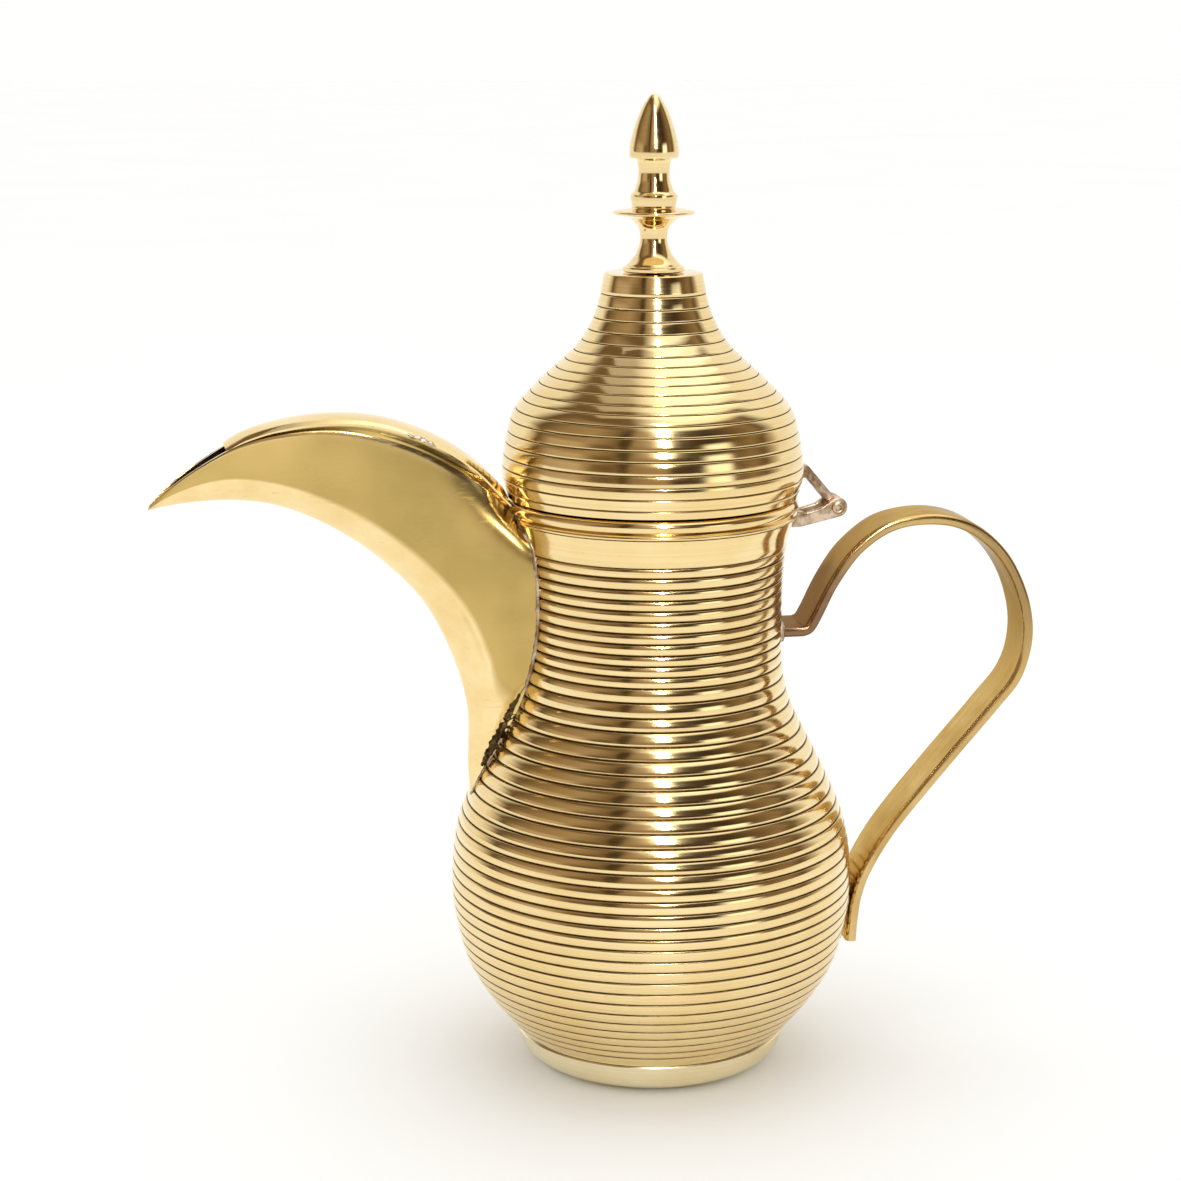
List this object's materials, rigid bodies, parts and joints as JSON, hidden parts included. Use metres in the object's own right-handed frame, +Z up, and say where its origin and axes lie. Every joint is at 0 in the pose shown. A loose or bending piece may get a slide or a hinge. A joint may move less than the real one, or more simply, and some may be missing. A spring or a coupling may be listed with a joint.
{
  "type": "dallah coffee pot",
  "caption": "Lidded coffee pot with a ribbed pear-shaped vessel, a crescent pouring beak, a hinged onion lid with a knob and a flat strap handle.",
  "frame": {"origin": "on the vessel's axis at the underside of the foot", "axes": "+Z up along the vessel's axis; -X towards the pouring beak, +X towards the handle and the lid's hinge; the XZ plane is the plane of symmetry"},
  "size_m": [0.2727, 0.1252, 0.3],
  "materials": {
    "polished_brass": "polished, spun and burnished",
    "satin_brass": "satin, brushed",
    "raw_brass": "unpolished, pickled after brazing",
    "plated_steel": "zinc plated"
  },
  "bodies": {
    "pot": {"foot_dish": "satin_brass", "vessel_lower": "polished_brass", "vessel_upper": "polished_brass", "mouth_rim": "polished_brass", "spout_beak": "polished_brass", "spout_cover": "polished_brass", "handle_strap": "satin_brass", "hinge_fork": "raw_brass", "hinge_pin": "raw_brass"},
    "lid": {"lid_dome": "polished_brass", "lid_collar": "polished_brass", "hinge_arm": "raw_brass", "finial": "polished_brass", "finial_stud": "polished_brass", "finial_washer": "polished_brass", "finial_nut": "plated_steel"}
  },
  "joints": [
    {"name": "lid_hinge", "type": "hinge", "parent": "pot", "child": "lid", "pos_m": [0.0572, 0, 0.1747], "axis": [0, 1, 0], "range_deg": [0, 105]}
  ]
}
